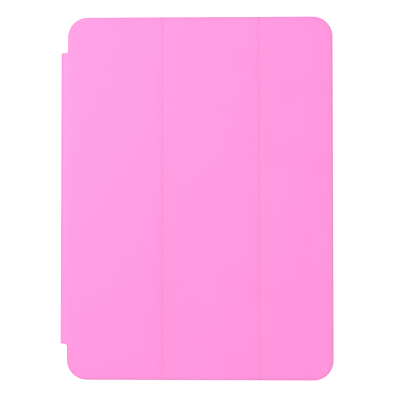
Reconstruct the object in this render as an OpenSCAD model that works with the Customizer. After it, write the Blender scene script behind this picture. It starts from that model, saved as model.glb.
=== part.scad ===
// Folding case for an 11-inch-class tablet: a moulded tray, and a leather cover in three
// stiffened panels that wraps round a soft spine. It lies on its back, closed, with the
// front cover facing +Z, the spine on -X and the tablet's top edge on +Y.
// The origin is under the middle of the whole closed case, on the back leather's outer face.

/* [Tablet] */
// Width of the tablet that the tray holds
tablet_w = 178.5; // [176:0.1:182]
// Height of the tablet
tablet_h = 247.6; // [245:0.1:250]
// Thickness of the tablet
tablet_t = 6.1; // [5.8:0.1:7.5]
// Radius of the tablet's corners
tablet_r = 12.4; // [11:0.1:15]

/* [Tray] */
// Thickness of the tray's side walls
wall_t = 1.6; // [1.4:0.1:2]
// Thickness of the tray's floor
floor_t = 1.4; // [1.2:0.1:2]
// Clearance between the tablet and the walls
tablet_gap = 0.15; // [0.1:0.05:0.3]
// How far the lip reaches in over the tablet's edge
lip_reach = 1.0; // [0.6:0.1:1.4]
// Thickness of the lip
lip_t = 0.7; // [0.6:0.1:1]
// Radius of the tray's edge round its back
back_edge_r = 3.0; // [2:0.1:3.2]
// Width and height of the camera window
camera_size = 32; // [28:0.5:34]
// Width of the charging port's slot
port_w = 13; // [11:0.5:16]
// Width of each speaker slot
speaker_w = 30; // [20:1:32]

/* [Cover] */
// Thickness of the outer leather
leather_t = 0.8; // [0.6:0.1:1]
// Thickness of the stiffener boards
board_t = 1.2; // [1:0.1:1.4]
// Thickness of the microfibre lining
lining_t = 0.4; // [0.3:0.1:0.5]
// Radius of the cover's four corners
cover_r = 13.9; // [12:0.1:15]
// How far the cover stands out past the tray on three sides
cover_over = 0.45; // [0.3:0.05:1]
// How far the cover stands out past the tray at the spine
cover_spine_over = 1.95; // [1.5:0.05:2.5]
// Width of the inner panel, from the cover's edge to the first fold
inner_w = 67.2; // [64:0.1:69]
// Width of the middle panel, from fold to fold
middle_w = 66.8; // [64:0.1:68]
// Width of the flexible strip at each fold
fold_w = 2.4; // [2.4:0.1:3]
// Depth of the groove at each fold
fold_depth = 0.5; // [0.4:0.05:0.5]

/* [Spine] */
// Length of the spine, between the two corner notches
spine_len = 202.4; // [190:0.1:210]
// How far the spine stands out past the cover's edge
spine_out = 4.7; // [4.2:0.1:5.5]
// Thickness of the spine's stiffener
spine_board_t = 0.6; // [0.5:0.1:0.8]
// Outer radius of the spine's two soft bends
bend_r = 2.2; // [2:0.1:2.5]
// Radius in the corner of each notch
notch_r = 2.0; // [1.5:0.1:2.4]

/* [Buttons] */
// Length of the button covers
button_l = 10.6; // [9:0.1:12]
// Width of the button covers
button_w = 2.8; // [2.4:0.1:3.2]
// How far the button covers stand out of the wall
button_proud = 0.4; // [0.2:0.05:0.45]
// Clearance round each button cover
button_gap = 0.2; // [0.1:0.05:0.3]

/* [Magnets] */
// Number of closing magnets along the free edge
magnet_count = 5; // [3:1:5]
// Length of each closing magnet
magnet_l = 12; // [8:1:14]
// Width of each closing magnet
magnet_w = 4; // [3:0.5:5]
// Diameter of the disc magnet that wakes the tablet
wake_d = 6; // [5:0.5:8]
// Thickness of the steel catch plate in the inner panel
catch_t = 0.5; // [0.4:0.1:0.6]

/* [Hidden] */
$fn = 64;

pink = [1.0, 0.61, 0.89];
pink_tray = [0.97, 0.58, 0.85];
pink_lining = [0.98, 0.75, 0.91];
board_grey = [0.30, 0.30, 0.32];
steel = [0.72, 0.73, 0.75];

// heights, from the surface that the case lies on
back_proud = 0.3;                              // the leather stands this much below the tray's rim
tray_floor = leather_t + floor_t;
tablet_bottom = tray_floor + lining_t;
tablet_top = tablet_bottom + tablet_t;
lip_bottom = tablet_top + 0.05;
tray_top = lip_bottom + lip_t;
panel_t = leather_t + board_t + lining_t;
cover_bottom = tray_top + 0.2;
cover_top = cover_bottom + panel_t;
board_z = cover_bottom + lining_t;
laminate_t = leather_t + lining_t;             // where leather and lining meet with no board
tablet_mid = tablet_bottom + tablet_t / 2;

// the tray's outline
cavity_x = tablet_w / 2 + tablet_gap;
cavity_y = tablet_h / 2 + tablet_gap;
cavity_r = tablet_r + tablet_gap;
tray_x = cavity_x + wall_t;
tray_y = cavity_y + wall_t;
tray_r = cavity_r + wall_t;

// the cover's outline
cover_left = -tray_x - cover_spine_over;
cover_right = tray_x + cover_over;
cover_y = tray_y + cover_over;
fold_1_x = cover_left + inner_w;
fold_2_x = fold_1_x + middle_w;
fold_axis_z = cover_top - fold_depth;

// the spine's section
spine_x = cover_left - spine_out;
bend_x = spine_x + bend_r;
spine_t = leather_t + spine_board_t + lining_t;
spine_low = bend_r;
spine_high = cover_top - bend_r;
spine_hem = 0.5;                               // leather left round the stiffener
hinge_gap = 0.1;                               // between the rear lining and the tray
centre_x = -(spine_x + cover_right) / 2;

// the back leather's outline
back_inset = 2.5;
camera_ring = 1.5;

// places along the walls
camera_at = [66, 100.6];
camera_r = 8;
port_h = 5;
speaker_h = 3.2;
speaker_x = 44;
top_button_x = 70;
volume_up_y = 89;
volume_down_y = 75;
pencil_low = -85;
pencil_high = 57;
pencil_z = 4.4;
pencil_r = 2;
magnet_x = cover_right - leather_t - 1.2 - magnet_w / 2;
magnet_pitch = 45;
wake_at = [cover_right - 14, -22.5];
catch_w = 8;
catch_l = 190;
catch_x = cover_left + 6.5;
past = 1;    // how far a cutting solid runs past the face that it cuts

// ---- outlines ----

// a rectangle round the origin, x and y from its centre to its sides, with round corners
module box_outline(x, y, r) {
    square([2 * x, 2 * (y - r)], center = true);
    square([2 * (x - r), 2 * y], center = true);
    for (sx = [-1, 1], sy = [-1, 1])
        translate([sx * (x - r), sy * (y - r)]) circle(r);
}

// the whole front cover, drawn in by inset
module cover_outline(inset) {
    translate([(cover_left + cover_right) / 2, 0])
        box_outline((cover_right - cover_left) / 2 - inset, cover_y - inset, cover_r - inset);
}

// the part of the cover between two lines across it
module panel_outline(x0, x1, inset) {
    intersection() {
        cover_outline(inset);
        translate([x0, -cover_y - past]) square([x1 - x0, 2 * (cover_y + past)]);
    }
}

module inner_outline(inset = 0) {
    panel_outline(cover_left - past, fold_1_x - fold_w / 2, inset);
}

module middle_outline(inset = 0) {
    panel_outline(fold_1_x + fold_w / 2, fold_2_x - fold_w / 2, inset);
}

module outer_outline(inset = 0) {
    panel_outline(fold_2_x + fold_w / 2, cover_right + past, inset);
}

// the tongue that joins a leather panel to a bend, with a round corner in each notch
module tongue_outline(edge_x) {
    translate([bend_x, -spine_len / 2])
        square([edge_x - bend_x, spine_len]);
    for (side = [-1, 1])
        translate([edge_x, side * spine_len / 2])
            flip_y(side)
                difference() {
                    translate([-notch_r, 0]) square(notch_r);
                    translate([-notch_r, notch_r]) circle(notch_r);
                }
}

module flip_y(side) {
    mirror([0, side < 0 ? 1 : 0]) children();
}

module camera_outline(grow) {
    half = camera_size / 2 + grow;
    translate(camera_at) box_outline(half, half, camera_r + grow);
}

module back_outline() {
    difference() {
        union() {
            box_outline(tray_x - back_inset, tray_y - back_inset, tray_r - back_inset);
            tongue_outline(-tray_x + back_inset);
        }
        camera_outline(camera_ring);
    }
}

// a bar with round ends, along X
module stadium(l, w) {
    square([l - w, w], center = true);
    for (side = [-1, 1])
        translate([side * (l - w) / 2, 0]) circle(d = w);
}

// a bar with round ends that stands on the XY plane, turned to run through the wall at angle
module through_wall(angle, distance, along, z, thickness) {
    rotate(angle)
        translate([distance, along, z])
            rotate([90, 0, 90])
                linear_extrude(thickness) children();
}

// moves a piece from the tablet's centre to the whole case's
module in_frame() {
    translate([centre_x, 0, 0]) children();
}

// ---- the tray and what is on it ----

// half of the tray's section, from its middle out to reach, with a round lower edge
module tray_section(reach) {
    translate([0, back_proud]) square([reach - back_edge_r, tray_top - back_proud]);
    translate([0, back_proud + back_edge_r])
        square([reach, tray_top - back_proud - back_edge_r]);
    translate([reach - back_edge_r, back_proud + back_edge_r]) circle(back_edge_r);
}

// that section drawn along one side of the tray
module tray_side(angle, reach, length) {
    rotate(angle)
        translate([0, length / 2, 0])
            rotate([90, 0, 0])
                linear_extrude(length) tray_section(reach);
}

module tray_body() {
    for (angle = [0, 180]) tray_side(angle, tray_x, 2 * (tray_y - tray_r));
    for (angle = [90, 270]) tray_side(angle, tray_y, 2 * (tray_x - tray_r));
    for (sx = [-1, 1], sy = [-1, 1])
        translate([sx * (tray_x - tray_r), sy * (tray_y - tray_r), 0])
            rotate_extrude() tray_section(tray_r);
}

// the outline of the open side where a pencil clips onto the tablet
module pencil_outline() {
    translate([pencil_low, pencil_z + pencil_r])
        square([pencil_high - pencil_low, tray_top + past - pencil_z - pencil_r]);
    translate([pencil_low + pencil_r, pencil_z])
        square([pencil_high - pencil_low - 2 * pencil_r, tray_top + past - pencil_z]);
    for (y = [pencil_low + pencil_r, pencil_high - pencil_r])
        translate([y, pencil_z + pencil_r]) circle(pencil_r);
}

// everything that is cut through the tray's four walls
module wall_cuts() {
    cut = wall_t + 2 * past;
    hole_l = button_l + 2 * button_gap;
    hole_w = button_w + 2 * button_gap;
    for (x = [-speaker_x, speaker_x], end = [-90, 90])
        through_wall(end, cavity_y - past, x, tablet_mid, cut) stadium(speaker_w, speaker_h);
    through_wall(-90, cavity_y - past, 0, tablet_mid, cut) stadium(port_w, port_h);
    through_wall(90, cavity_y - past, -top_button_x, tablet_mid, cut) stadium(hole_l, hole_w);
    for (y = [volume_up_y, volume_down_y])
        through_wall(0, cavity_x - past, y, tablet_mid, cut) stadium(hole_l, hole_w);
    through_wall(0, cavity_x - lip_reach - past, 0, 0, cut + lip_reach) pencil_outline();
}

module tray_shell() {
    difference() {
        tray_body();
        translate([0, 0, tray_floor])
            linear_extrude(lip_bottom - tray_floor) box_outline(cavity_x, cavity_y, cavity_r);
        translate([0, 0, lip_bottom - past])
            linear_extrude(lip_t + 2 * past)
                box_outline(cavity_x - lip_reach, cavity_y - lip_reach, cavity_r - lip_reach);
        translate([0, 0, -past]) linear_extrude(leather_t + past) back_outline();
        translate([0, 0, -past]) linear_extrude(tray_floor + 2 * past) camera_outline(0);
        wall_cuts();
    }
}

// the room that the floor's stiff plate takes, just inside the lip
module plate_block() {
    linear_extrude(tray_floor)
        box_outline(cavity_x - lip_reach, cavity_y - lip_reach, cavity_r - lip_reach);
}

module tray() {
    color(pink_tray) in_frame()
        difference() {
            tray_shell();
            plate_block();
        }
}

module tray_plate() {
    color(pink_tray) in_frame()
        intersection() {
            tray_shell();
            plate_block();
        }
}

module tray_lining() {
    inset = 0.4;
    color(pink_lining) in_frame()
        translate([0, 0, tray_floor])
            linear_extrude(lining_t)
                difference() {
                    box_outline(cavity_x - inset, cavity_y - inset, cavity_r - inset);
                    camera_outline(camera_ring);
                }
}

module back_leather() {
    color(pink) in_frame() linear_extrude(leather_t) back_outline();
}

module top_button() {
    color(pink_tray) in_frame()
        through_wall(90, cavity_y, -top_button_x, tablet_mid, wall_t + button_proud)
            stadium(button_l, button_w);
}

module volume_button(y) {
    through_wall(0, cavity_x, y, tablet_mid, wall_t + button_proud) stadium(button_l, button_w);
}

module volume_up_button() {
    color(pink_tray) in_frame() volume_button(volume_up_y);
}

module volume_down_button() {
    color(pink_tray) in_frame() volume_button(volume_down_y);
}

// ---- the spine and its two bends ----

// draws a section in X and Z along the spine
module along_spine() {
    translate([0, spine_len / 2, 0])
        rotate([90, 0, 0])
            linear_extrude(spine_len) children();
}

// a quarter of a ring round one bend; side is 1 for the front bend and -1 for the rear one
module bend_section(r_out, r_in, side) {
    translate([bend_x, side > 0 ? spine_high : spine_low])
        flip_y(side)
            intersection() {
                difference() {
                    circle(r_out);
                    circle(r_in);
                }
                translate([-r_out - past, 0]) square(r_out + past);
            }
}

module bend_leather(side) {
    along_spine() bend_section(bend_r, bend_r - leather_t, side);
}

// the lining goes round the bend and on along the leather's tongue to edge_x
module bend_lining(side, edge_x) {
    along_spine() {
        bend_section(bend_r - leather_t, bend_r - laminate_t, side);
        translate([bend_x, side > 0 ? cover_top - laminate_t : leather_t])
            square([edge_x - bend_x, lining_t]);
    }
}

module rear_hinge_leather() {
    color(pink) in_frame() bend_leather(-1);
}

module rear_hinge_lining() {
    color(pink_lining) in_frame() bend_lining(-1, -tray_x - hinge_gap);
}

module front_hinge_leather() {
    color(pink) in_frame() bend_leather(1);
}

module front_hinge_lining() {
    color(pink_lining) in_frame() bend_lining(1, cover_left);
}

// a layer of the spine, drawn in by hem at its two ends and along its two long sides
module spine_layer(x, t, hem) {
    translate([x, -spine_len / 2 + hem, spine_low + hem])
        cube([t, spine_len - 2 * hem, spine_high - spine_low - 2 * hem]);
}

module spine_leather() {
    color(pink) in_frame()
        difference() {
            spine_layer(spine_x, spine_t, 0);
            spine_layer(spine_x + leather_t, spine_t, spine_hem);
        }
}

module spine_board() {
    color(board_grey) in_frame() spine_layer(spine_x + leather_t, spine_board_t, spine_hem);
}

module spine_lining() {
    color(pink_lining) in_frame()
        spine_layer(spine_x + leather_t + spine_board_t, lining_t, spine_hem);
}

// ---- the cover's three panels ----

// a panel's leather, turned down round the cover's edges over the board and the lining
module panel_leather() {
    difference() {
        translate([0, 0, cover_bottom]) linear_extrude(panel_t) children();
        translate([0, 0, cover_bottom - past])
            linear_extrude(lining_t + board_t + past) cover_outline(leather_t);
    }
}

module panel_lining() {
    translate([0, 0, cover_bottom]) linear_extrude(lining_t) children();
}

module panel_board() {
    translate([0, 0, board_z]) linear_extrude(board_t) children();
}

// takes the sharp corner off a panel's leather beside a fold, so that the fold can close
module fold_chamfer(x, side) {
    near = side * (fold_w / 2 - past);
    far = side * (fold_w / 2 + fold_depth);
    translate([x, cover_y + past, 0])
        rotate([90, 0, 0])
            linear_extrude(2 * (cover_y + past))
                polygon([
                    [near, fold_axis_z],
                    [side * fold_w / 2, fold_axis_z],
                    [far, cover_top],
                    [far, cover_top + past],
                    [near, cover_top + past]
                ]);
}

module inner_leather() {
    color(pink) in_frame() {
        difference() {
            panel_leather() inner_outline();
            fold_chamfer(fold_1_x, -1);
        }
        translate([0, 0, cover_top - leather_t])
            linear_extrude(leather_t) tongue_outline(cover_left);
    }
}

module inner_board() {
    color(board_grey) in_frame()
        difference() {
            panel_board() inner_outline(leather_t);
            catch_layer(catch_t + past);
        }
}

module inner_lining() {
    color(pink_lining) in_frame() panel_lining() inner_outline(leather_t);
}

// lies in the top of the inner board, under the leather
module catch_layer(t) {
    translate([catch_x - catch_w / 2, -catch_l / 2, board_z + board_t - catch_t])
        cube([catch_w, catch_l, t]);
}

module catch_plate() {
    color(steel) in_frame() catch_layer(catch_t);
}

module middle_leather() {
    color(pink) in_frame()
        difference() {
            panel_leather() middle_outline();
            fold_chamfer(fold_1_x, 1);
            fold_chamfer(fold_2_x, -1);
        }
}

module middle_board() {
    color(board_grey) in_frame() panel_board() middle_outline(leather_t);
}

module middle_lining() {
    color(pink_lining) in_frame() panel_lining() middle_outline(leather_t);
}

module outer_leather() {
    color(pink) in_frame()
        difference() {
            panel_leather() outer_outline();
            fold_chamfer(fold_2_x, 1);
        }
}

module magnet_outlines() {
    for (i = [0:magnet_count - 1])
        translate([magnet_x, (i - (magnet_count - 1) / 2) * magnet_pitch])
            square([magnet_w, magnet_l], center = true);
}

module wake_outline() {
    translate(wake_at) circle(d = wake_d);
}

module outer_board() {
    color(board_grey) in_frame()
        panel_board()
            difference() {
                outer_outline(leather_t);
                magnet_outlines();
                wake_outline();
            }
}

module outer_lining() {
    color(pink_lining) in_frame() panel_lining() outer_outline(leather_t);
}

module closing_magnets() {
    color(steel) in_frame() panel_board() magnet_outlines();
}

module wake_magnet() {
    color(steel) in_frame() panel_board() wake_outline();
}

// ---- the soft strips at the two folds ----

module fold_strip(x, z, t) {
    translate([x - fold_w / 2, -cover_y, z]) cube([fold_w, 2 * cover_y, t]);
}

module fold_1_leather() {
    color(pink) in_frame() fold_strip(fold_1_x, fold_axis_z - leather_t, leather_t);
}

module fold_1_lining() {
    color(pink_lining) in_frame() fold_strip(fold_1_x, fold_axis_z - laminate_t, lining_t);
}

module fold_2_leather() {
    color(pink) in_frame() fold_strip(fold_2_x, fold_axis_z - leather_t, leather_t);
}

module fold_2_lining() {
    color(pink_lining) in_frame() fold_strip(fold_2_x, fold_axis_z - laminate_t, lining_t);
}

tray();
tray_plate();
tray_lining();
back_leather();
top_button();
volume_up_button();
volume_down_button();
rear_hinge_leather();
rear_hinge_lining();
spine_leather();
spine_board();
spine_lining();
front_hinge_leather();
front_hinge_lining();
inner_leather();
inner_board();
inner_lining();
catch_plate();
fold_1_leather();
fold_1_lining();
middle_leather();
middle_board();
middle_lining();
fold_2_leather();
fold_2_lining();
outer_leather();
outer_board();
outer_lining();
closing_magnets();
wake_magnet();
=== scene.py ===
import math

import bmesh
import bpy
import numpy as np
from mathutils import Matrix, Vector
from mathutils.geometry import delaunay_2d_cdt


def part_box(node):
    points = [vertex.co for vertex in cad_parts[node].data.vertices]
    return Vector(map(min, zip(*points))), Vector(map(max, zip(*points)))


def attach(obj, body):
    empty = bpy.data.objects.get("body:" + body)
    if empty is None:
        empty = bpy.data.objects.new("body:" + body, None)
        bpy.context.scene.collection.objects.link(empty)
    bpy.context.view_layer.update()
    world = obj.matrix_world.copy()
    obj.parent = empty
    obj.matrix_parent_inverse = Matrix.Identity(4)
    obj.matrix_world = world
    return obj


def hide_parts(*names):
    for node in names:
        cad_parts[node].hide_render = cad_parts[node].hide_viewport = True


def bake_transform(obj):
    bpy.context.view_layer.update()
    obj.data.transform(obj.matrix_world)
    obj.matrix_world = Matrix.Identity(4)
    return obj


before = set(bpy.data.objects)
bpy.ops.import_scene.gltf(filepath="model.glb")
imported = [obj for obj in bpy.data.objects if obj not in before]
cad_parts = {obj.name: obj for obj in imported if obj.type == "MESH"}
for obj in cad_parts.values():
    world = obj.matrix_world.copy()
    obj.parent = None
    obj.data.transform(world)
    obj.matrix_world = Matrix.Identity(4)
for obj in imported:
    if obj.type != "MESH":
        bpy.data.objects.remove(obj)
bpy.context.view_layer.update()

MM = 0.001

# ---------------------------------------------------------------- sizes, from the CAD nodes


def low(node):
    return np.array(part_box(node)[0])


def high(node):
    return np.array(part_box(node)[1])


COVER_TOP = high("middle_leather")[2]
COVER_BOTTOM = low("middle_leather")[2]
COVER_RIGHT = high("outer_leather")[0]
COVER_Y = high("middle_leather")[1]
LEATHER = high("back_leather")[2] - low("back_leather")[2]
LINING = high("tray_lining")[2] - low("tray_lining")[2]
COVER_LEFT = low("inner_board")[0] - LEATHER
COVER_R = 13.9 * MM
FOLD_1 = (low("fold_1_leather")[0] + high("fold_1_leather")[0]) / 2
FOLD_2 = (low("fold_2_leather")[0] + high("fold_2_leather")[0]) / 2
FOLD_HALF = (high("fold_1_leather")[0] - low("fold_1_leather")[0]) / 2
GROOVE = COVER_TOP - high("fold_1_leather")[2]
SPINE_X = low("spine_leather")[0]
SPINE_Y = high("spine_leather")[1]
SPINE_LOW, SPINE_HIGH = low("spine_leather")[2], high("spine_leather")[2]
BEND_R = high("front_hinge_leather")[0] - low("front_hinge_leather")[0]
BEND_X = SPINE_X + BEND_R
NOTCH_R = 2.0 * MM
TRAY_LOW, TRAY_HIGH = low("tray"), high("tray")
TRAY_R = 14.15 * MM
TRAY_FLOOR = low("tray_lining")[2]
CAMERA_R = 8 * MM
WINDOW_R = CAMERA_R + 1.5 * MM

# How far the darker rim, painted shade of the rounded edge, reaches in from an edge before it has faded to a third
RIM_FADE = 0.8 * MM
# Greatest turn between two faces that are still shaded as one
CREASE = math.radians(40)
# Points round a corner of the cover, of the back, of a lining, of a hole and of a notch
COVER_ARC, BACK_ARC, LINING_ARC, HOLE_ARC, NOTCH_ARC = 24, 20, 16, 12, 10


# ---------------------------------------------------------------- shader maths


class Wire:
    """A socket in a node tree. Sums, differences and products of wires add Math nodes."""

    def __init__(self, tree, socket):
        self.tree, self.socket = tree, socket

    def _math(self, operation, a, b):
        return Shade(self.tree).add("ShaderNodeMath", {"operation": operation}, {0: a, 1: b}).out(0)

    def __add__(self, other):
        return self._math("ADD", self, other)

    def __sub__(self, other):
        return self._math("SUBTRACT", self, other)

    def __mul__(self, other):
        return self._math("MULTIPLY", self, other)


class Shade:
    """A node tree, or one node of it. add() makes a node from its type, its settings and its sockets."""

    def __init__(self, tree, node=None):
        self.tree, self.node = tree, node

    def add(self, kind, settings=(), sockets=()):
        node = self.tree.nodes.new(kind)
        for key, value in dict(settings).items():
            setattr(node, key, value)
        for key, value in dict(sockets).items():
            if isinstance(value, Wire):
                self.tree.links.new(value.socket, node.inputs[key])
            else:
                node.inputs[key].default_value = value
        return Shade(self.tree, node)

    def out(self, key=0):
        return Wire(self.tree, self.node.outputs[key])

    def place(self):
        return self.add("ShaderNodeTexCoord").out("Object")

    def noise(self, where, scale, detail, rough):
        return self.add(
            "ShaderNodeTexNoise", {}, {"Vector": where, "Scale": scale, "Detail": detail, "Roughness": rough}
        ).out("Fac")

    def cells(self, where, scale, feature="F1"):
        return self.add("ShaderNodeTexVoronoi", {"feature": feature}, {"Vector": where, "Scale": scale}).out("Distance")

    def combed(self, where, along):
        """Coordinates drawn out along Y, so that what is made from them has a grain that way."""
        return self.add("ShaderNodeMapping", {}, {"Vector": where, "Scale": (1.0, along, 1.0)}).out()

    def spread(self, value, a, b, c, d):
        """A smooth ramp from c to d as the value goes from a to b."""
        return self.add(
            "ShaderNodeMapRange",
            {"interpolation_type": "SMOOTHSTEP"},
            {"Value": value, "From Min": a, "From Max": b, "To Min": c, "To Max": d},
        ).out(0)

    def between(self, amount, a, b):
        """Colour a where the amount is 0, colour b where it is 1. 6, 7 and 2 are the node's colour sockets."""
        return self.add("ShaderNodeMix", {"data_type": "RGBA"}, {"Factor": amount, 6: a, 7: b}).out(2)

    def attribute(self, name):
        return self.add("ShaderNodeAttribute", {"attribute_name": name}).out("Fac")

    def bump(self, height, distance, strength=1.0, under=None):
        sockets = {"Height": height, "Distance": distance, "Strength": strength}
        if under is not None:
            sockets["Normal"] = under
        return self.add("ShaderNodeBump", {}, sockets).out("Normal")


def finish_of(name, build):
    """A material whose shader's sockets come from build(shade), a dict of socket name to value or wire."""
    material = bpy.data.materials.new(name)
    material.use_nodes = True
    tree = material.node_tree
    tree.nodes.clear()
    shade = Shade(tree)
    sockets = build(shade)
    shader = shade.add("ShaderNodeBsdfPrincipled", {}, sockets)
    output = shade.add("ShaderNodeOutputMaterial")
    tree.links.new(shader.node.outputs["BSDF"], output.node.inputs["Surface"])
    return material


def rgb(r, g, b):
    return (r, g, b, 1.0)


def coated_leather(shade):
    """Smooth coated leather: fine pebbles with creases between them and faint mottling. Its rims and folds are painted
    darker, as painted shade of the rounded edges and of the grooves (with some wear in the grooves), and are a little
    shinier."""
    where = shade.place()
    mottle = shade.noise(where, 28.0, 4.0, 0.55)
    pores = shade.cells(where, 1900.0)
    creases = shade.cells(where, 1300.0, "DISTANCE_TO_EDGE")
    rim = shade.attribute("rim")
    face = shade.between(shade.spread(mottle, 0.3, 0.7, 0.0, 1.0), PINK_DEEP, PINK)
    # The rim attribute mixes in painted shade: darker at the rounded edges and in the fold grooves
    rim_shaded = shade.between(rim * 0.85, face, PINK_RIM_SHADE)
    rough = shade.spread(mottle, 0.3, 0.7, 0.42, 0.47) - rim * 0.05
    grain = shade.spread(creases, 0.0, 0.25, 0.0, 1.0) * 0.7 + pores * 0.3
    return {
        "Base Color": rim_shaded,
        "Roughness": rough,
        "Specular IOR Level": 0.8,
        "Sheen Weight": 0.05,
        "Sheen Roughness": 0.5,
        "Normal": shade.bump(grain, 0.00006, 0.5, shade.bump(mottle, 0.0006, 0.25)),
    }


def brushed_microfibre(shade):
    """Microfibre: short nap that lies in soft patches, tufts and single fibres combed one way, no gloss."""
    where = shade.place()
    patches = shade.noise(where, 70.0, 4.0, 0.6)
    combed = shade.combed(where, 0.18)
    fibres = shade.noise(combed, 3600.0, 3.0, 0.7)
    tufts = shade.noise(combed, 900.0, 3.0, 0.6)
    cloth = shade.between(shade.spread(patches, 0.3, 0.7, 0.35, 1.0), LINING_DEEP, LINING_LIGHT)
    shaded = shade.between(shade.spread(tufts, 0.35, 0.65, 0.0, 0.5), cloth, LINING_DEEP)
    fluffy = shade.between(shade.spread(fibres, 0.4, 0.75, 0.0, 0.45), shaded, LINING_TIP)
    return {
        "Base Color": fluffy,
        "Roughness": 0.92,
        "Specular IOR Level": 0.15,
        "Sheen Weight": 0.4,
        "Sheen Roughness": 0.45,
        "Normal": shade.bump(fibres, 0.00008, 0.6, shade.bump(tufts, 0.0002, 0.5)),
    }


def soft_touch_moulding(shade):
    """Moulded tray: fine spark-eroded texture, faint flow marks, a dull soft-touch skin."""
    where = shade.place()
    texture = shade.noise(where, 3200.0, 2.0, 0.5)
    flow = shade.noise(where, 22.0, 3.0, 0.5)
    return {
        "Base Color": shade.between(shade.spread(flow, 0.3, 0.7, 0.0, 1.0), MOULD_DEEP, MOULD_LIGHT),
        "Roughness": shade.spread(flow, 0.3, 0.7, 0.42, 0.5),
        "Specular IOR Level": 0.4,
        "Normal": shade.bump(texture, 0.00002, 0.4),
    }


def pressed_board(shade):
    """Grey fibre board: pressed flakes and specks."""
    where = shade.place()
    flakes = shade.cells(where, 420.0)
    specks = shade.noise(where, 1500.0, 3.0, 0.7)
    return {
        "Base Color": shade.between(
            shade.spread(specks, 0.35, 0.75, 0.0, 1.0), rgb(0.05, 0.05, 0.055), rgb(0.17, 0.16, 0.16)
        ),
        "Roughness": 0.85,
        "Normal": shade.bump(flakes, 0.0001, 0.4),
    }


def nickel_plate(shade):
    """Nickel-plated magnets: bright metal with faint tumbling marks."""
    where = shade.place()
    marks = shade.noise(where, 800.0, 4.0, 0.65)
    return {
        "Base Color": shade.between(marks, rgb(0.62, 0.60, 0.56), rgb(0.74, 0.72, 0.68)),
        "Metallic": 1.0,
        "Roughness": shade.spread(marks, 0.3, 0.7, 0.22, 0.34),
        "Normal": shade.bump(marks, 0.00002, 0.3),
    }


def rolled_steel(shade):
    """Rolled steel strip: fine lines along its length."""
    where = shade.place()
    lines = shade.noise(shade.combed(where, 0.02), 2500.0, 3.0, 0.6)
    return {
        "Base Color": shade.between(lines, rgb(0.42, 0.42, 0.43), rgb(0.56, 0.56, 0.57)),
        "Metallic": 1.0,
        "Roughness": shade.spread(lines, 0.3, 0.7, 0.32, 0.48),
        "Normal": shade.bump(lines, 0.00002, 0.5),
    }


PINK = rgb(0.90, 0.216, 0.602)
PINK_DEEP = rgb(0.89, 0.207, 0.590)
# Painted shade colour for the rounded edges and the fold grooves
PINK_RIM_SHADE = rgb(0.50, 0.150, 0.41)
LINING_LIGHT = rgb(0.84, 0.39, 0.65)
LINING_DEEP = rgb(0.74, 0.30, 0.55)
LINING_TIP = rgb(0.93, 0.56, 0.78)
MOULD_LIGHT = rgb(0.88, 0.26, 0.62)
MOULD_DEEP = rgb(0.84, 0.235, 0.58)

leather = finish_of("coated_leather", coated_leather)
microfibre = finish_of("brushed_microfibre", brushed_microfibre)
moulding = finish_of("soft_touch_moulding", soft_touch_moulding)
board = finish_of("pressed_board", pressed_board)
nickel = finish_of("nickel_plate", nickel_plate)
steel = finish_of("rolled_steel", rolled_steel)


# ---------------------------------------------------------------- outlines
# An outline is an array of rows (x, y, nx, ny, soft, floor): a point, its outward normal,
# 1 where the edge is rounded or 0 where it meets its neighbour, and the lowest height there.
# The material is on the left of the way the outline runs.


def run(a, b, places, soft=1.0, floor=0.0):
    """Straight stretch: points a + t (b - a) for t in places, normal to the right of the way."""
    a, b = np.array(a, float), np.array(b, float)
    t = np.asarray(places, float)[:, None]
    way = (b - a) / np.linalg.norm(b - a)
    normal = np.array([way[1], -way[0]])
    points = a + t * (b - a)
    flags = np.array([soft, floor])
    return np.hstack([points, np.tile(normal, (len(t), 1)), np.tile(flags, (len(t), 1))])


def turn(centre, radius, start, stop, count):
    """Arc: centre + radius (cos, sin) of angles in degrees. Its normal points out on a left turn and in on a
    right one."""
    angle = np.radians(np.linspace(start, stop, count))
    ray = np.stack([np.cos(angle), np.sin(angle)], 1)
    side = 1.0 if stop > start else -1.0
    flags = np.tile([1.0, 0.0], (count, 1))
    return np.hstack([np.array(centre) + radius * ray, side * ray, flags])


def joined(*pieces):
    """One closed outline from its pieces, with repeated points left out."""
    rows = np.vstack(pieces)
    step = np.linalg.norm(rows[:, :2] - np.roll(rows[:, :2], 1, axis=0), axis=1)
    return rows[step > 1e-7]


def even(length, pitch):
    """Places from 0 to 1 that are about pitch apart on a stretch of that length."""
    return np.linspace(0, 1, max(2, int(round(length / pitch)) + 1))


NEAR_FOLD = np.array([0, 0.25, 0.5, 0.8, 1.1, 1.5, 2.0, 2.6, 3.4, 4.6]) * MM


def crossing(x0, x1, close_0, close_1):
    """Places along a stretch from x0 to x1, closer together near an end that meets a fold."""
    length = abs(x1 - x0)
    inner = np.linspace(5.5 * MM, length - 5.5 * MM, max(2, int(length / (5 * MM))))
    parts = [inner]
    parts.append(NEAR_FOLD if close_0 else np.array([0, 2 * MM]))
    parts.append(length - NEAR_FOLD if close_1 else np.array([length, length - 2 * MM]))
    return np.unique(np.concatenate(parts)) / length


def hole(centre, half, radius):
    """A rounded square hole, run round clockwise."""
    (cx, cy), h, r = centre, half, radius
    straight = even(2 * (h - r), 1.5 * MM)
    return joined(
        run((cx - h, cy - h + r), (cx - h, cy + h - r), straight),
        turn((cx - h + r, cy + h - r), r, 180, 90, HOLE_ARC),
        run((cx - h + r, cy + h), (cx + h - r, cy + h), straight),
        turn((cx + h - r, cy + h - r), r, 90, 0, HOLE_ARC),
        run((cx + h, cy + h - r), (cx + h, cy - h + r), straight),
        turn((cx + h - r, cy - h + r), r, 0, -90, HOLE_ARC),
        run((cx + h - r, cy - h), (cx - h + r, cy - h), straight),
        turn((cx - h + r, cy - h + r), r, -90, -180, HOLE_ARC),
    )


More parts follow.
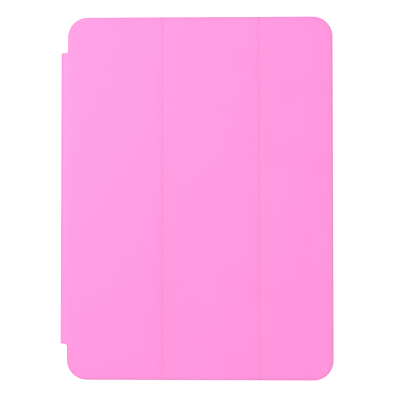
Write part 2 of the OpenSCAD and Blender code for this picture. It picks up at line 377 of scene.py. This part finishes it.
def box_outline(x0, x1, y, r, pitch, arc):
    """A rounded rectangle from x0 to x1 and from -y to y, run round anticlockwise."""
    wide, tall = even(x1 - x0 - 2 * r, pitch), even(2 * (y - r), pitch)
    return joined(
        run((x0 + r, -y), (x1 - r, -y), wide),
        turn((x1 - r, -y + r), r, -90, 0, arc),
        run((x1, -y + r), (x1, y - r), tall),
        turn((x1 - r, y - r), r, 0, 90, arc),
        run((x1 - r, y), (x0 + r, y), wide),
        turn((x0 + r, y - r), r, 90, 180, arc),
        run((x0, y - r), (x0, -y + r), tall),
        turn((x0 + r, -y + r), r, 180, 270, arc),
    )


def panel_outline(x0, x1, corner_0, corner_1, tongue=False, inset=0.0):
    """A cover panel between x0 and x1: round corners on its free side, straight ends on a fold, and the tongue
    to the spine."""
    hem = 4.4 * MM
    y = COVER_Y - inset
    r = COVER_R - inset
    thin = COVER_TOP - COVER_BOTTOM - LEATHER
    r0, r1 = (r if corner_0 else 0.0), (r if corner_1 else 0.0)
    near_0, near_1 = not corner_0, not corner_1
    pieces = [run((x0 + r0, -y), (x1 - r1, -y), crossing(x0 + r0, x1 - r1, near_0, near_1))]
    if corner_1:
        pieces += [
            turn((x1 - r, -y + r), r, -90, 0, COVER_ARC),
            run((x1, -y + r), (x1, y - r), even(2 * (y - r), 6 * MM)),
            turn((x1 - r, y - r), r, 0, 90, COVER_ARC),
        ]
    else:
        pieces += [run((x1, -y + hem), (x1, y - hem), even(2 * y, 8 * MM), 0.0, thin)]
    pieces += [run((x1 - r1, y), (x0 + r0, y), crossing(x1 - r1, x0 + r0, near_1, near_0))]
    if tongue:
        n = NOTCH_R
        pieces += [
            turn((x0 + r, y - r), r, 90, 180, COVER_ARC),
            run((x0, y - r), (x0, SPINE_Y + n), even(y - r - SPINE_Y - n, 1.2 * MM)),
            turn((x0 - n, SPINE_Y + n), n, 0, -90, NOTCH_ARC),
            run((x0 - n, SPINE_Y), (BEND_X, SPINE_Y), [0.1, 0.5, 1], 1.0, thin),
            run((BEND_X, SPINE_Y - hem), (BEND_X, -SPINE_Y + hem), even(2 * SPINE_Y, 8 * MM), 0.0, thin),
            run((BEND_X, -SPINE_Y), (x0 - n, -SPINE_Y), [0, 0.5, 0.9], 1.0, thin),
            turn((x0 - n, -SPINE_Y - n), n, 90, 0, NOTCH_ARC),
            run((x0, -SPINE_Y - n), (x0, -y + r), even(y - r - SPINE_Y - n, 1.2 * MM)),
            turn((x0 + r, -y + r), r, 180, 270, COVER_ARC),
        ]
    elif corner_0:
        pieces += [
            turn((x0 + r, y - r), r, 90, 180, COVER_ARC),
            run((x0, y - r), (x0, -y + r), even(2 * (y - r), 6 * MM)),
            turn((x0 + r, -y + r), r, 180, 270, COVER_ARC),
        ]
    else:
        pieces += [run((x0, y - hem), (x0, -y + hem), even(2 * y, 8 * MM), 0.0, thin)]
    return joined(*pieces)


# ---------------------------------------------------------------- meshes


def solid(name, points, faces, material, rim=None):
    """A closed piece from points and faces: doubles merged, faces turned outwards, smooth but for real corners."""
    mesh = bpy.data.meshes.new(name)
    mesh.from_pydata(np.asarray(points, float).tolist(), [], faces)
    # rim: how far the colour is painted darker, as shade at the edges and in the fold grooves
    attribute = mesh.attributes.new("rim", "FLOAT", "POINT")
    attribute.data.foreach_set("value", np.zeros(len(points), np.float32) if rim is None else rim.astype(np.float32))
    work = bmesh.new()
    work.from_mesh(mesh)
    bmesh.ops.remove_doubles(work, verts=work.verts, dist=2e-7)
    bmesh.ops.recalc_face_normals(work, faces=work.faces)
    work.to_mesh(mesh)
    work.free()
    mesh.polygons.foreach_set("use_smooth", np.ones(len(mesh.polygons), bool))
    mesh.set_sharp_from_angle(angle=CREASE)
    mesh.materials.append(material)
    piece = bpy.data.objects.new(name, mesh)
    bpy.context.scene.collection.objects.link(piece)
    return piece


def ringed(n, m):
    """The quads between m rings of n points, ring after ring; each row of a quad is four indices."""
    j, k = np.meshgrid(np.arange(m - 1), np.arange(n), indexing="ij")
    next_k = (k + 1) % n
    return np.stack([j * n + k, j * n + next_k, (j + 1) * n + next_k, (j + 1) * n + k], -1).reshape(-1, 4)


def filled(loops, inner):
    """Triangles that fill the loops' area, holes left open, through the inner points. Each is a row of indices
    into the loops and then the inner points."""
    counts = np.cumsum([0] + [len(a) for a in loops])
    edges = np.vstack([
        np.stack([np.arange(a, b), np.roll(np.arange(a, b), -1)], 1) for a, b in zip(counts[:-1], counts[1:])
    ])
    points = np.vstack(list(loops) + [inner]) if len(inner) else np.vstack(loops)
    span = np.ptp(points, axis=0).max()
    out = delaunay_2d_cdt((points / span).tolist(), edges.tolist(), [], 0, 1e-7)
    origin = np.array([found[0] if found else -1 for found in out[3]])
    triangles = origin[np.array(out[2])]
    triangles = triangles[(triangles >= 0).all(axis=1)]
    return triangles[crossings(points[triangles].mean(axis=1), loops) % 2 == 1]


def crossings(points, loops):
    """How many of the loops' edges a line to the right of each point crosses; odd is inside, with holes outside."""
    total = np.zeros(len(points), int)
    for a in loops:
        edge = np.roll(a, -1, axis=0) - a
        crosses = (a[:, 1] > points[:, None, 1]) != ((a + edge)[:, 1] > points[:, None, 1])
        with np.errstate(divide="ignore", invalid="ignore"):
            at = a[:, 0] + (points[:, None, 1] - a[:, 1]) * edge[:, 0] / edge[:, 1]
        total += (crosses & (points[:, None, 0] < at)).sum(axis=1)
    return total


def slab(name, outlines, section, height, material, bent=None, columns=(), flip=False, shade_and_wear=None):
    """A flat skin. Each outline is drawn in by the section's insets at the section's heights, from under its edge,
    round it and on to its face; both faces are then filled. bent(x, z, share) is where a height z ends up at x.
    section rows are (inset, height, share of the press), heights from the skin's low side."""
    pitch = 9 * MM
    inset, up, share = np.array(section).T
    loops, ends = [], []
    points, rims, faces, start = [], [], [], 0
    for outline in outlines:
        xy, normal, soft, floor = outline[:, :2], outline[:, 2:4], outline[:, 4], outline[:, 5]
        n, m = len(outline), len(inset)
        place = xy[None] - (soft[None] * inset[:, None])[..., None] * normal[None]
        z = np.maximum(up[:, None], floor[None])
        if bent is not None:
            z = bent(place[..., 0], z, share[:, None])
        points.append(np.dstack([place, z]).reshape(-1, 3))
        faces += (ringed(n, m) + start).tolist()
        # rims: painted shade that darkens the colour towards the rounded edge
        rims.append((soft[None] * np.exp(-inset / RIM_FADE)[:, None]).ravel())
        loops.append((place[0], start))
        ends.append((place[-1], start + (m - 1) * n))
        start += m * n
    x0, x1 = ends[0][0][:, 0].min(), ends[0][0][:, 0].max()
    y0, y1 = ends[0][0][:, 1].min(), ends[0][0][:, 1].max()
    across = np.concatenate([np.arange(x0 + 3 * MM, x1 - 2 * MM, pitch), np.asarray(columns, float)])
    gx, gy = np.meshgrid(across, np.arange(y0 + 3 * MM, y1 - 2 * MM, pitch))
    inner = np.stack([gx.ravel(), gy.ravel()], 1)
    inner = inner[clear_of(inner, [e[0] for e in ends], 0.12 * MM)]
    for loop_set, extra, turned in ((ends, inner, False), (loops, np.zeros((0, 2)), True)):
        triangles = filled([l[0] for l in loop_set], extra)
        index = np.concatenate([np.arange(len(l[0])) + l[1] for l in loop_set] + [np.arange(len(extra)) + start])
        triangles = index[triangles]
        faces += (triangles[:, ::-1] if turned else triangles).tolist()
    z = np.full(len(inner), up[-1])
    if bent is not None:
        z = bent(inner[:, 0], z, 1.0)
    points.append(np.column_stack([inner, z]))
    rims.append(np.zeros(len(inner)))
    points = np.vstack(points)
    points[:, 2] = height - points[:, 2] if flip else height + points[:, 2]
    rims = np.concatenate(rims)
    # Painted shade in the fold grooves, with some wear, is added to the rims' painted shade
    if shade_and_wear is not None:
        rims = rims + shade_and_wear(points[:, 0])
    return solid(name, points, faces, material, rims)


def clear_of(points, loops, gap):
    """Which points are inside the loops' area and more than gap from every edge."""
    keep = crossings(points, loops) % 2 == 1
    for a in loops:
        edge = np.roll(a, -1, axis=0) - a
        along = np.clip(((points[:, None] - a) * edge).sum(-1) / np.maximum((edge ** 2).sum(-1), 1e-18), 0, 1)
        keep &= np.linalg.norm(points[:, None] - (a + along[..., None] * edge), axis=2).min(axis=1) > gap
    return keep


def strip(name, outer, inner, half, hem, material, foot=None, shade_and_wear=0.0):
    """A strip along Y between two curves in X and Z, at y = half - inset. Over h from 0 to 1 a point is
    inner + h (outer - inner), and below 0 it is inner - h (foot - inner). The hem's rows (inset, h) go from its
    low side to its face, then back down at the other end."""
    outer, inner = np.asarray(outer), np.asarray(inner)
    foot = inner if foot is None else np.asarray(foot)
    inset, h = np.array(hem).T
    y = np.concatenate([half - inset, -(half - inset)[::-1]])
    h = np.concatenate([h, h[::-1]])
    # rim: painted shade that darkens the colour towards the hems
    rim = np.exp(-inset / RIM_FADE)
    rim = np.concatenate([rim, rim[::-1]])
    n, m = len(outer), len(y)
    up, down = np.clip(h, 0, 1)[None, :, None], np.clip(-h, 0, 1)[None, :, None]
    xz = inner[:, None] + up * (outer - inner)[:, None] + down * (foot - inner)[:, None]
    points = np.dstack([xz[..., 0], np.tile(y, (n, 1)), xz[..., 1]]).reshape(-1, 3)
    caps = [np.arange(m).tolist(), ((n - 1) * m + np.arange(m)).tolist()]
    # Painted shade at the hems and in the fold's groove, with some wear, darkens the colour
    darker = np.tile(rim, n) + np.repeat(shade_and_wear * np.ones(n), m)
    return solid(name, points, ringed(m, n).tolist() + caps, material, darker)


# ---------------------------------------------------------------- sections

ROUND = 0.85 * MM
CROWN = 0.05 * MM
FULL = COVER_TOP - COVER_BOTTOM
UNDER = FULL - LEATHER
QUARTER = np.radians(np.linspace(0, 90, 8))


def leather_section():
    """Leather turned down over an edge: from its underside, down inside the flange, round its foot, up, and over
    on to the face. Over the edge, at angle a: inset = r (1 - cos a), height = full - crown - r + r sin a."""
    wall = 0.8 * MM
    foot = [(wall + 0.05 * MM, UNDER, 0.0), (wall, 0.12 * MM, 0.0), (wall - 0.1 * MM, 0.0, 0.0),
            (0.3 * MM, 0.0, 0.0), (0.08 * MM, 0.08 * MM, 0.0), (0.0, 0.3 * MM, 0.0)]
    over = [
        (ROUND * (1 - math.cos(a)), FULL - CROWN - ROUND + ROUND * math.sin(a), min(1.0, 0.35 + 0.75 * math.sin(a)))
        for a in QUARTER
    ]
    face = [(1.6 * MM, FULL - 0.7 * CROWN, 1.0), (2.6 * MM, FULL - 0.3 * CROWN, 1.0), (4.0 * MM, FULL, 1.0)]
    return foot + over + face


def sheet_section(thick, round_r, wide):
    """A thin layer with a rounded edge: its underside, its side, and over on to the face."""
    over = [(round_r * (1 - math.cos(a)), thick - round_r + round_r * math.sin(a), 1.0) for a in QUARTER]
    return [(wide, 0.0, 0.0), (0.0, 0.0, 0.0)] + over + [(wide, thick, 1.0)]


CLOTH_HEM = [(1.0 * MM, 0.0), (0.05 * MM, 0.0), (0.0, 0.5), (0.05 * MM, 0.85), (0.15 * MM, 1.0)]
TURNED_HEM = [(LEATHER, 0.0), (0.7 * MM, -0.9), (0.6 * MM, -1.0), (0.15 * MM, -1.0), (0.0, -0.8)] + [
    (ROUND * (1 - math.cos(a)), math.sin(a)) for a in QUARTER[1:]
] + [(1.6 * MM, 1.0), (2.6 * MM, 1.0), (4.4 * MM, 1.0)]
SPINE_BOARD = high("spine_board")[0] - low("spine_board")[0]
RISE = low("fold_1_lining")[2] - COVER_BOTTOM
SLOPE_FROM = COVER_LEFT + 3.35 * MM
SLOPE_DROP = 0.55 * MM
# The fold's groove as a share of the CAD's, and the widths of the groove, of the darker leather (painted shade of the
# groove, with some wear) and of the tuck
PRESS_SHARE, PRESS_WIDE = 0.33, 1.8 * MM
FOLD_SHADE_SHARE, FOLD_SHADE_WIDE = 0.24, 1.9 * MM
TUCK_WIDE = 1.5 * MM


def droop(x):
    """How far the cover's face has come down on its way to the spine: drop times (share of the way) squared."""
    return SLOPE_DROP * np.clip((SLOPE_FROM - x) / (SLOPE_FROM - BEND_X), 0, 1) ** 2


def bell(size, wide, folds):
    """A curve over x: size exp(-(distance / wide) squared), summed over the folds."""
    return lambda x: sum(size * np.exp(-((x - f) / wide) ** 2) for f in folds)


def groove(*folds):
    """How far the soft face is pressed in at its folds."""
    return bell(PRESS_SHARE * GROOVE, PRESS_WIDE, folds)


def fold_shade_and_wear(*folds):
    """How far the leather's colour is painted darker along its folds, 0 to 1: painted shade of the groove, with some
    wear.
    """
    return bell(FOLD_SHADE_SHARE, FOLD_SHADE_WIDE, folds)


def tuck(*folds):
    """How far the underside rises to the leather at its folds."""
    return bell(RISE, TUCK_WIDE, folds)


def leather_bend(*folds):
    """Height of the panel's leather once its folds are pressed in from both sides and its face comes down to the
    spine: z - share press + lift (1 - z / under) - droop z / full."""
    press, lift = groove(*folds), tuck(*folds)
    return lambda x, z, share: z - share * press(x) + lift(x) * np.clip(1 - z / UNDER, 0, 1) - droop(x) * z / FULL


# ---------------------------------------------------------------- the cover's leather

skin = leather_section()
steps = NEAR_FOLD[1:]


def cover_leather():
    """The three panels' leather."""
    inner = slab(
        "inner_panel_leather",
        [panel_outline(COVER_LEFT, FOLD_1 - FOLD_HALF, True, False, tongue=True)],
        skin, COVER_BOTTOM, leather, leather_bend(FOLD_1),
        np.concatenate([FOLD_1 - FOLD_HALF - steps, np.arange(BEND_X + 0.5 * MM, SLOPE_FROM + 3 * MM, 0.7 * MM)]),
        shade_and_wear=fold_shade_and_wear(FOLD_1),
    )
    middle = slab(
        "middle_panel_leather",
        [panel_outline(FOLD_1 + FOLD_HALF, FOLD_2 - FOLD_HALF, False, False)],
        skin, COVER_BOTTOM, leather, leather_bend(FOLD_1, FOLD_2),
        np.concatenate([FOLD_1 + FOLD_HALF + steps, FOLD_2 - FOLD_HALF - steps]), shade_and_wear=fold_shade_and_wear(FOLD_1, FOLD_2),
    )
    outer = slab(
        "outer_panel_leather",
        [panel_outline(FOLD_2 + FOLD_HALF, COVER_RIGHT, False, True)],
        skin, COVER_BOTTOM, leather, leather_bend(FOLD_2), FOLD_2 + FOLD_HALF + steps,
        shade_and_wear=fold_shade_and_wear(FOLD_2),
    )
    for piece, panel in ((inner, "inner"), (middle, "middle"), (outer, "outer")):
        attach(piece, f"{panel}_panel")
        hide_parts(f"{panel}_leather")


def fold_leather(name, x, node):
    """The leather strip at the bottom of a fold's groove."""
    across = x + np.linspace(-1, 1, 17) * FOLD_HALF
    top = COVER_TOP - groove(x)(across)
    foot = COVER_BOTTOM + tuck(x)(across)
    piece = strip(name, np.column_stack([across, top]), np.column_stack([across, top - LEATHER]), COVER_Y, TURNED_HEM,
                  leather, np.column_stack([across, foot]), fold_shade_and_wear(x)(across))
    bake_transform(piece)
    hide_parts(node)


cover_leather()
fold_leather("first_fold_leather", FOLD_1, "fold_1_leather")
fold_leather("second_fold_leather", FOLD_2, "fold_2_leather")


# ---------------------------------------------------------------- the cover's linings


def cover_lining():
    """The three panels' microfibre, laid inside the turned-down leather."""
    wall = LEATHER + 0.03 * MM
    section = sheet_section(LINING, 0.12 * MM, 2.5 * MM)
    specs = (
        ("inner", COVER_LEFT + wall, FOLD_1 - FOLD_HALF, True, False, (FOLD_1,)),
        ("middle", FOLD_1 + FOLD_HALF, FOLD_2 - FOLD_HALF, False, False, (FOLD_1, FOLD_2)),
        ("outer", FOLD_2 + FOLD_HALF, COVER_RIGHT - wall, False, True, (FOLD_2,)),
    )
    for panel, x0, x1, round_0, round_1, folds in specs:
        outline = panel_outline(x0, x1, round_0, round_1, inset=wall)
        outline[:, 5] = 0.0
        columns = np.concatenate([c for f in folds for c in (f - FOLD_HALF - steps, f + FOLD_HALF + steps)])
        columns = columns[(columns > x0 + 0.1 * MM) & (columns < x1 - 0.1 * MM)]
        piece = slab(f"{panel}_panel_lining", [outline], section, COVER_BOTTOM + LINING, microfibre,
                     lambda x, z, share, lift=tuck(*folds): z - lift(x), columns, flip=True)
        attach(piece, f"{panel}_panel")
        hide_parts(f"{panel}_lining")


def fold_lining(name, x, node):
    """The microfibre that crosses a fold on the inside."""
    across = x + np.linspace(-1, 1, 17) * FOLD_HALF
    face = COVER_BOTTOM + tuck(x)(across)
    half = COVER_Y - LEATHER
    outer, inner = np.column_stack([across, face]), np.column_stack([across, face + LINING])
    piece = strip(name, outer, inner, half, CLOTH_HEM, microfibre)
    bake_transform(piece)
    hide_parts(node)


cover_lining()
fold_lining("first_fold_lining", FOLD_1, "fold_1_lining")
fold_lining("second_fold_lining", FOLD_2, "fold_2_lining")


# ---------------------------------------------------------------- the spine


BEND_STEPS = 13
SPINE_STEPS = 9


def front_curve():
    """The front bend's outer face: an ellipse that carries on from the cover's slope and ends upright on the spine.
    x = left + r (1 - sin a) and z = foot + b cos a, with a from a0 to a quarter turn. r and b are set so that it
    starts on the cover."""
    start = math.radians(20)
    r = BEND_R / (1 - math.sin(start))
    b = (BEND_R - SLOPE_DROP) / math.cos(start)
    a = np.linspace(start, math.pi / 2, BEND_STEPS)
    normal = np.column_stack([-np.sin(a) / r, np.cos(a) / b])
    return np.column_stack([SPINE_X + r * (1 - np.sin(a)), SPINE_HIGH + b * np.cos(a)]), unit(normal)


def rear_curve():
    """The rear bend's outer face: a quarter ring of radius BEND_R, from the back up to the spine."""
    a = np.linspace(0, math.pi / 2, BEND_STEPS)
    normal = np.column_stack([-np.sin(a), -np.cos(a)])
    return np.array([BEND_X, SPINE_LOW]) + BEND_R * normal, normal


def unit(rows):
    """Each row divided by its length."""
    return rows / np.linalg.norm(rows, axis=1, keepdims=True)


def upright(x):
    """An upright line at x over the spine's height."""
    return np.column_stack([np.full(SPINE_STEPS, x), np.linspace(SPINE_LOW, SPINE_HIGH, SPINE_STEPS)])


def dress_strip(piece, body, node):
    """Puts a strip on its body, in the place of its CAD node."""
    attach(piece, body)
    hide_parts(node)


def spine_pieces():
    """The spine's leather and lining, and the bends that join it to the cover and to the back."""
    cloth_half = SPINE_Y - 0.5 * MM
    for name, (face, normal), bodies, node in (
        ("front_bend", front_curve(), ("inner_panel", "spine"), "front_hinge"),
        ("rear_bend", rear_curve(), ("case_back", "spine"), "rear_hinge"),
    ):
        back = face - LEATHER * normal
        skin_piece = strip(f"{name}_leather", face, back, SPINE_Y, TURNED_HEM, leather, back - SPINE_BOARD * normal)
        cloth = strip(f"{name}_lining", back - LINING * normal, back, cloth_half, CLOTH_HEM, microfibre)
        for piece, kind in ((skin_piece, "leather"), (cloth, "lining")):
            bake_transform(piece)
            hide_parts(f"{node}_{kind}")
    inside_x = high("spine_lining")[0]
    outside = strip("spine_outside_leather", upright(SPINE_X), upright(SPINE_X + LEATHER), SPINE_Y, TURNED_HEM,
                    leather, upright(SPINE_X + LEATHER + SPINE_BOARD))
    inside = strip("spine_inside_lining", upright(inside_x), upright(inside_x - LINING), cloth_half, CLOTH_HEM,
                   microfibre)
    dress_strip(outside, "spine", "spine_leather")
    dress_strip(inside, "spine", "spine_lining")
    turn_x, turn_r = COVER_LEFT + 0.2 * MM, 0.45 * MM
    along = np.linspace(BEND_X, turn_x, SPINE_STEPS)
    corner = np.radians(np.linspace(90, 0, 6))
    under = COVER_BOTTOM + UNDER * (1 - droop(along) / FULL)
    round_x = turn_x + turn_r * np.cos(corner)
    round_z = under[-1] - turn_r + turn_r * np.sin(corner)
    down = np.linspace(round_z[-1], COVER_BOTTOM + 0.02 * MM, 4)[1:]
    back = np.vstack([
        np.column_stack([along, under]), np.column_stack([round_x, round_z])[1:],
        np.column_stack([np.full(3, round_x[-1]), down]),
    ])
    way = np.gradient(back, axis=0)
    normal = unit(np.column_stack([way[:, 1], -way[:, 0]]))
    top_cloth = strip("front_tongue_lining", back + LINING * normal, back, cloth_half, CLOTH_HEM, microfibre)
    dress_strip(top_cloth, "inner_panel", "front_hinge_lining")
    flat_x = np.linspace(BEND_X, high("rear_hinge_lining")[0], SPINE_STEPS)
    flat = np.column_stack([flat_x, np.full(SPINE_STEPS, LEATHER)])
    low_cloth = strip("rear_tongue_lining", flat + [0, LINING], flat, cloth_half, CLOTH_HEM, microfibre)
    dress_strip(low_cloth, "case_back", "rear_hinge_lining")


spine_pieces()


# ---------------------------------------------------------------- the back and the tray


def camera_place():
    """The camera window's middle, read from the hole in the tray's lining."""
    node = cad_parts["tray_lining"]
    points = np.empty(len(node.data.vertices) * 3)
    node.data.vertices.foreach_get("co", points)
    points = points.reshape(-1, 3)
    lo, hi = low("tray_lining"), high("tray_lining")
    inner = points[(points[:, 0] > lo[0] + 30 * MM) & (points[:, 0] < hi[0] - 4 * MM)
                   & (points[:, 1] > lo[1] + 30 * MM) & (points[:, 1] < hi[1] - 4 * MM)]
    a, b = inner.min(axis=0), inner.max(axis=0)
    return (a + b)[:2] / 2, (b[0] - a[0]) / 2


CAMERA, CAMERA_HALF = camera_place()


def back_outline():
    """The back leather: a rounded rectangle with a tongue to the spine."""
    x1, y = high("back_leather")[:2]
    x0 = TRAY_LOW[0] + (TRAY_HIGH[0] - x1)
    r = TRAY_R - (TRAY_HIGH[0] - x1)
    hem = 2.6 * MM
    n = NOTCH_R
    return joined(
        run((x0 + r, -y), (x1 - r, -y), even(x1 - x0 - 2 * r, 5 * MM)),
        turn((x1 - r, -y + r), r, -90, 0, BACK_ARC),
        run((x1, -y + r), (x1, y - r), even(2 * (y - r), 5 * MM)),
        turn((x1 - r, y - r), r, 0, 90, BACK_ARC),
        run((x1 - r, y), (x0 + r, y), even(x1 - x0 - 2 * r, 5 * MM)),
        turn((x0 + r, y - r), r, 90, 180, BACK_ARC),
        run((x0, y - r), (x0, SPINE_Y + n), even(y - r - SPINE_Y - n, 1.2 * MM)),
        turn((x0 - n, SPINE_Y + n), n, 0, -90, NOTCH_ARC),
        run((x0 - n, SPINE_Y), (BEND_X, SPINE_Y), [0, 0.4, 0.8, 1]),
        run((BEND_X, SPINE_Y - hem), (BEND_X, -SPINE_Y + hem), even(2 * SPINE_Y, 6 * MM), 0.0, 0.0),
        run((BEND_X, -SPINE_Y), (x0 - n, -SPINE_Y), [0, 0.2, 0.6, 1]),
        turn((x0 - n, -SPINE_Y - n), n, 90, 0, NOTCH_ARC),
        run((x0, -SPINE_Y - n), (x0, -y + r), even(y - r - SPINE_Y - n, 1.2 * MM)),
        turn((x0 + r, -y + r), r, 180, 270, BACK_ARC),
    )


def back_pieces():
    """The back leather with its camera window, and the lining that the tablet lies on."""
    section = [(LEATHER + 0.05 * MM, 0.0, 0.0), (0.0, 0.0, 0.0)] + [
        (ROUND * (1 - math.cos(a)), LEATHER * math.sin(a), 1.0) for a in QUARTER[1:]
    ] + [(2.0 * MM, LEATHER, 1.0)]
    piece = slab("back_cover_leather", [back_outline(), hole(CAMERA, CAMERA_HALF, WINDOW_R)],
                 section, LEATHER, leather, flip=True)
    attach(piece, "case_back")
    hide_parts("back_leather")
    hi = high("tray_lining")
    lo = low("tray_lining")
    cx, x, y = (hi[0] + lo[0]) / 2, (hi[0] - lo[0]) / 2, hi[1]
    r = TRAY_R - (TRAY_HIGH[0] - hi[0])
    outline = box_outline(cx - x, cx + x, y, r, 6 * MM, LINING_ARC)
    cloth = slab("tray_floor_lining", [outline, hole(CAMERA, CAMERA_HALF, WINDOW_R)],
                 sheet_section(LINING, 0.12 * MM, 1.5 * MM), TRAY_FLOOR, microfibre)
    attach(cloth, "case_back")
    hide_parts("tray_lining")


back_pieces()


def button(name, node, body, facing):
    """A button cover: a bar with round ends whose outer face is domed and whose edge is rolled over."""
    lo, hi = low(node), high(node)
    middle = (lo + hi) / 2
    along = 1 if facing == 0 else 0
    length, wide, deep = (hi - lo)[along], (hi - lo)[2], (hi - lo)[facing]
    angle = np.radians(np.linspace(-90, 90, 15))
    cap = np.column_stack([np.cos(angle), np.sin(angle)]) * wide / 2
    shift = np.array([(length - wide) / 2, 0])
    outline = np.vstack([cap + shift, -cap - shift])
    roll = 0.32 * MM
    scale = [(0.0, 0.0), (0.0, deep - roll)] + [
        (roll * (1 - math.cos(a)), deep - roll + roll * math.sin(a) * 0.8) for a in QUARTER[1:]
    ] + [(0.75 * MM, deep - 0.03 * MM), (wide / 2 - 0.05 * MM, deep)]
    radial = np.where(np.abs(outline[:, :1]) > shift[0], outline - np.sign(outline) * shift, outline * [0, 1])
    radial = unit(radial)
    rings = [np.column_stack([outline - radial * inset, np.full(len(outline), up)]) for inset, up in scale]
    local = np.vstack(rings)
    n, m = len(outline), len(rings)
    points = np.empty_like(local)
    points[:, along] = middle[along] + local[:, 0]
    points[:, 2] = middle[2] + local[:, 1]
    points[:, facing] = lo[facing] + local[:, 2]
    caps = [np.arange(n).tolist(), ((m - 1) * n + np.arange(n)).tolist()]
    piece = solid(name, points, ringed(n, m).tolist() + caps, moulding)
    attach(piece, body)
    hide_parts(node)


button("top_button_cover", "top_button", "top_key", 1)
button("volume_up_button_cover", "volume_up_button", "volume_up_key", 0)
button("volume_down_button_cover", "volume_down_button", "volume_down_key", 0)


# ---------------------------------------------------------------- CAD nodes that stay


def dressed(node, material, roll=None):
    """Gives a CAD node its finish, and rolls its sharp edges over where roll is stated."""
    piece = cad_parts[node]
    piece.data.materials.clear()
    piece.data.materials.append(material)
    if roll:
        weld = piece.modifiers.new("merged", "WELD")
        weld.merge_threshold = 1e-6
        bevel = piece.modifiers.new("rolled_edges", "BEVEL")
        bevel.width, bevel.segments = roll, 2
        bevel.limit_method, bevel.angle_limit = "ANGLE", math.radians(35)
        bevel.harden_normals = False


dressed("tray", moulding, 0.18 * MM)
dressed("tray_plate", moulding)
for name in ("spine_board", "inner_board", "middle_board", "outer_board"):
    dressed(name, board)
dressed("closing_magnets", nickel, 0.15 * MM)
dressed("wake_magnet", nickel, 0.15 * MM)
dressed("catch_plate", steel)


# ---------------------------------------------------------------- floor, light and camera


def floor_finish(shade):
    """White paper sweep."""
    fibre = shade.noise(shade.place(), 60.0, 3.0, 0.5)
    return {
        "Base Color": shade.between(fibre, rgb(0.60, 0.60, 0.60), rgb(0.63, 0.63, 0.63)),
        "Roughness": 0.9,
        "Specular IOR Level": 0.0,
        "Emission Color": rgb(1, 1, 1),
        "Emission Strength": 0.65,
    }


def studio():
    """A white sweep, an even white sky, one wide soft light from the upper left, and the camera almost straight
    above. tilt_x and tilt_y are how far it leans towards +X and -Y, and view is the width that it sees."""
    tilt_x, tilt_y, view = math.radians(1.55), math.radians(1.7), 277.1 * MM
    size, sunk = 3.0, 0.05 * MM
    corners = np.array([[-1, -1, 0], [1, -1, 0], [1, 1, 0], [-1, 1, 0]]) * size
    mesh = bpy.data.meshes.new("sweep")
    mesh.from_pydata((corners - [0, 0, sunk]).tolist(), [], [[0, 1, 2, 3]])
    mesh.materials.append(finish_of("white_sweep", floor_finish))
    sweep = bpy.data.objects.new("sweep", mesh)
    bpy.context.scene.collection.objects.link(sweep)
    world = bpy.data.worlds.new("studio")
    world.use_nodes = True
    sky = world.node_tree.nodes["Background"].inputs
    sky["Color"].default_value, sky["Strength"].default_value = rgb(1, 1, 1), 0.86
    bpy.context.scene.world = world
    lamp = bpy.data.lights.new("soft_box", "AREA")
    lamp.shape, lamp.size, lamp.energy = "SQUARE", 1.2, 17.0
    soft_box = bpy.data.objects.new("soft_box", lamp)
    soft_box.location = (-0.8, 0.5, 1.8)
    soft_box.rotation_euler = (Vector((0, 0, 0)) - soft_box.location).to_track_quat("-Z", "Y").to_euler()
    bpy.context.scene.collection.objects.link(soft_box)
    camera = bpy.data.cameras.new("camera")
    camera.lens, camera.sensor_width = 100.0, 36.0
    eye = bpy.data.objects.new("camera", camera)
    bpy.context.scene.collection.objects.link(eye)
    aim = np.array([(COVER_LEFT + COVER_RIGHT) / 2 + 0.15 * MM, -1.6 * MM, COVER_TOP])
    back = np.array([math.sin(tilt_x), -math.sin(tilt_y), 1.0])
    back /= np.linalg.norm(back)
    right = np.cross([0.0, 1.0, 0.0], back)
    right /= np.linalg.norm(right)
    turned = np.column_stack([right, np.cross(back, right), back])
    eye.location = (aim + back * view * camera.lens / camera.sensor_width).tolist()
    eye.rotation_euler = Matrix(turned.tolist()).to_euler()
    bpy.context.scene.camera = eye
    bpy.context.scene.view_settings.view_transform = "Standard"


studio()
